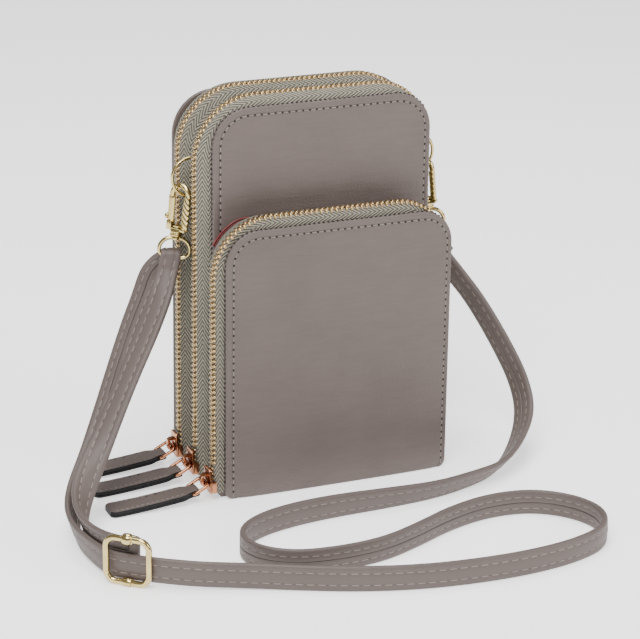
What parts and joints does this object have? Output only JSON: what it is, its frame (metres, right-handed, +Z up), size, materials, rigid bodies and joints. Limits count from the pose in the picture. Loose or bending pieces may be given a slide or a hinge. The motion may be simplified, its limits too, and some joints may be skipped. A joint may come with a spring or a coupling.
{
  "type": "phone pouch",
  "caption": "Upright zip-round crossbody phone pouch in smooth leather, with a shorter front pocket, leather zip pulls, side rings with snap hooks, and a long flat strap with a slide buckle.",
  "frame": {"origin": "middle of the base, on the surface it stands on, under the divider", "axes": "+X to the right seen from the pocket side, +Y to the back, +Z up"},
  "size_m": [0.232, 0.1709, 0.1752],
  "materials": {
    "leather": "smooth satin, fine grain",
    "tape_fabric": "herringbone woven",
    "zip_gold": "polished",
    "rose_gold": "polished",
    "hardware_gold": "polished",
    "lining_fabric": "plain woven",
    "red_trim": "satin"
  },
  "bodies": {
    "core": {"centre_divider": "leather", "base_panel": "leather", "back_inner_tape": "tape_fabric", "back_inner_chain": "zip_gold", "main_inner_tape": "tape_fabric", "main_inner_chain": "zip_gold", "left_ring_tab": "leather", "right_ring_tab": "leather", "card_slots": "lining_fabric", "phone_sleeve": "lining_fabric", "left_hook_eye": "hardware_gold", "right_hook_eye": "hardware_gold", "strap_right_tail": "leather", "strap_right_turn": "leather", "strap_right_drop": "leather", "strap_floor_run": "leather", "strap_outer_ply": "leather", "strap_left_turn": "leather", "strap_end_ply": "leather"},
    "back_cover": {"back_panel": "leather", "back_lining": "lining_fabric", "back_outer_tape": "tape_fabric", "back_outer_chain": "zip_gold"},
    "front_cover": {"front_panel": "leather", "main_lining": "lining_fabric", "main_outer_tape": "tape_fabric", "main_outer_chain": "zip_gold", "pocket_inner_tape": "tape_fabric", "pocket_inner_chain": "zip_gold", "pocket_piping": "red_trim", "pocket_base": "leather"},
    "pocket_cover": {"pocket_panel": "leather", "pocket_lining": "lining_fabric", "pocket_outer_tape": "tape_fabric", "pocket_outer_chain": "zip_gold"},
    "buckle": {"buckle_frame": "hardware_gold", "buckle_bar": "hardware_gold", "strap_end_loop": "leather"},
    "back_slider": {"back_slider": "rose_gold"},
    "back_link": {"back_link": "rose_gold"},
    "back_tab": {"back_tab": "leather"},
    "main_slider": {"main_slider": "rose_gold"},
    "main_link": {"main_link": "rose_gold"},
    "main_tab": {"main_tab": "leather"},
    "pocket_slider": {"pocket_slider": "rose_gold"},
    "pocket_link": {"pocket_link": "rose_gold"},
    "pocket_tab": {"pocket_tab": "leather"},
    "left_ring": {"left_ring": "hardware_gold"},
    "left_claw": {"left_hook_claw": "hardware_gold"},
    "left_gate": {"left_hook_gate": "hardware_gold"},
    "right_ring": {"right_ring": "hardware_gold"},
    "right_claw": {"right_hook_claw": "hardware_gold"},
    "right_gate": {"right_hook_gate": "hardware_gold"}
  },
  "joints": [
    {"name": "back_cover_fold", "type": "hinge", "parent": "core", "child": "back_cover", "pos_m": [0, 0.0175, 0.0011], "axis": [-1, 0, 0], "range_deg": [0, 40]},
    {"name": "front_cover_fold", "type": "hinge", "parent": "core", "child": "front_cover", "pos_m": [0, -0.0175, 0.0011], "axis": [1, 0, 0], "range_deg": [0, 20]},
    {"name": "pocket_cover_fold", "type": "hinge", "parent": "front_cover", "child": "pocket_cover", "pos_m": [0, -0.0363, 0.0011], "axis": [1, 0, 0], "range_deg": [0, 30]},
    {"name": "back_zip_pull", "type": "slide", "parent": "core", "child": "back_slider", "axis": [0, 0, 1], "range_m": [0, 0.055]},
    {"name": "back_link_swing", "type": "hinge", "parent": "back_slider", "child": "back_link", "pos_m": [-0.05915, 0.0105, 0.00865], "axis": [0, 1, 0], "range_deg": [0, 60]},
    {"name": "back_tab_swing", "type": "hinge", "parent": "back_link", "child": "back_tab", "pos_m": [-0.06586, 0.0105, 0.00508], "axis": [0, 1, 0], "range_deg": [0, 30]},
    {"name": "main_zip_pull", "type": "slide", "parent": "core", "child": "main_slider", "axis": [0, 0, 1], "range_m": [0, 0.028]},
    {"name": "main_link_swing", "type": "hinge", "parent": "main_slider", "child": "main_link", "pos_m": [-0.05915, -0.0105, 0.00865], "axis": [0, 1, 0], "range_deg": [0, 60]},
    {"name": "main_tab_swing", "type": "hinge", "parent": "main_link", "child": "main_tab", "pos_m": [-0.06586, -0.0105, 0.00508], "axis": [0, 1, 0], "range_deg": [0, 30]},
    {"name": "pocket_zip_pull", "type": "slide", "parent": "front_cover", "child": "pocket_slider", "axis": [0, 0, 1], "range_m": [0, 0.022]},
    {"name": "pocket_link_swing", "type": "hinge", "parent": "pocket_slider", "child": "pocket_link", "pos_m": [-0.05915, -0.0328, 0.00865], "axis": [0, 1, 0], "range_deg": [0, 60]},
    {"name": "pocket_tab_swing", "type": "hinge", "parent": "pocket_link", "child": "pocket_tab", "pos_m": [-0.06586, -0.0328, 0.00508], "axis": [0, 1, 0], "range_deg": [0, 30]},
    {"name": "left_ring_swing", "type": "hinge", "parent": "core", "child": "left_ring", "pos_m": [-0.0451, 0, 0.137], "axis": [0, 0, 1], "range_deg": [-4, 3]},
    {"name": "left_hook_swivel", "type": "hinge", "parent": "core", "child": "left_claw", "pos_m": [-0.06002, 0, 0.11087], "axis": [0.1219, 0, 0.9925], "range_deg": [-15, 2]},
    {"name": "left_gate_hinge", "type": "hinge", "parent": "left_claw", "child": "left_gate", "pos_m": [-0.06153, 0.0026, 0.11649], "axis": [0.7603, 0.6428, -0.0934], "range_deg": [0, 15], "stiffness_Nm_per_rad": 0.01, "springref_deg": -17.19},
    {"name": "right_ring_swing", "type": "hinge", "parent": "core", "child": "right_ring", "pos_m": [0.0451, 0, 0.137], "axis": [0, 0, 1], "range_deg": [-4, 3]},
    {"name": "right_hook_swivel", "type": "hinge", "parent": "core", "child": "right_claw", "pos_m": [0.06002, 0, 0.11087], "axis": [-0.1219, 0, 0.9925], "range_deg": [-15, 2]},
    {"name": "right_gate_hinge", "type": "hinge", "parent": "right_claw", "child": "right_gate", "pos_m": [0.05719, 0.0026, 0.11596], "axis": [0.7603, 0.6428, 0.0934], "range_deg": [0, 15], "stiffness_Nm_per_rad": 0.01, "springref_deg": -17.19},
    {"name": "buckle_slide", "type": "slide", "parent": "core", "child": "buckle", "axis": [-0.7431, 0.6691, 0], "range_m": [-0.006, 0.006], "deforming": ["strap_floor_run", "strap_outer_ply", "strap_end_ply"]}
  ]
}
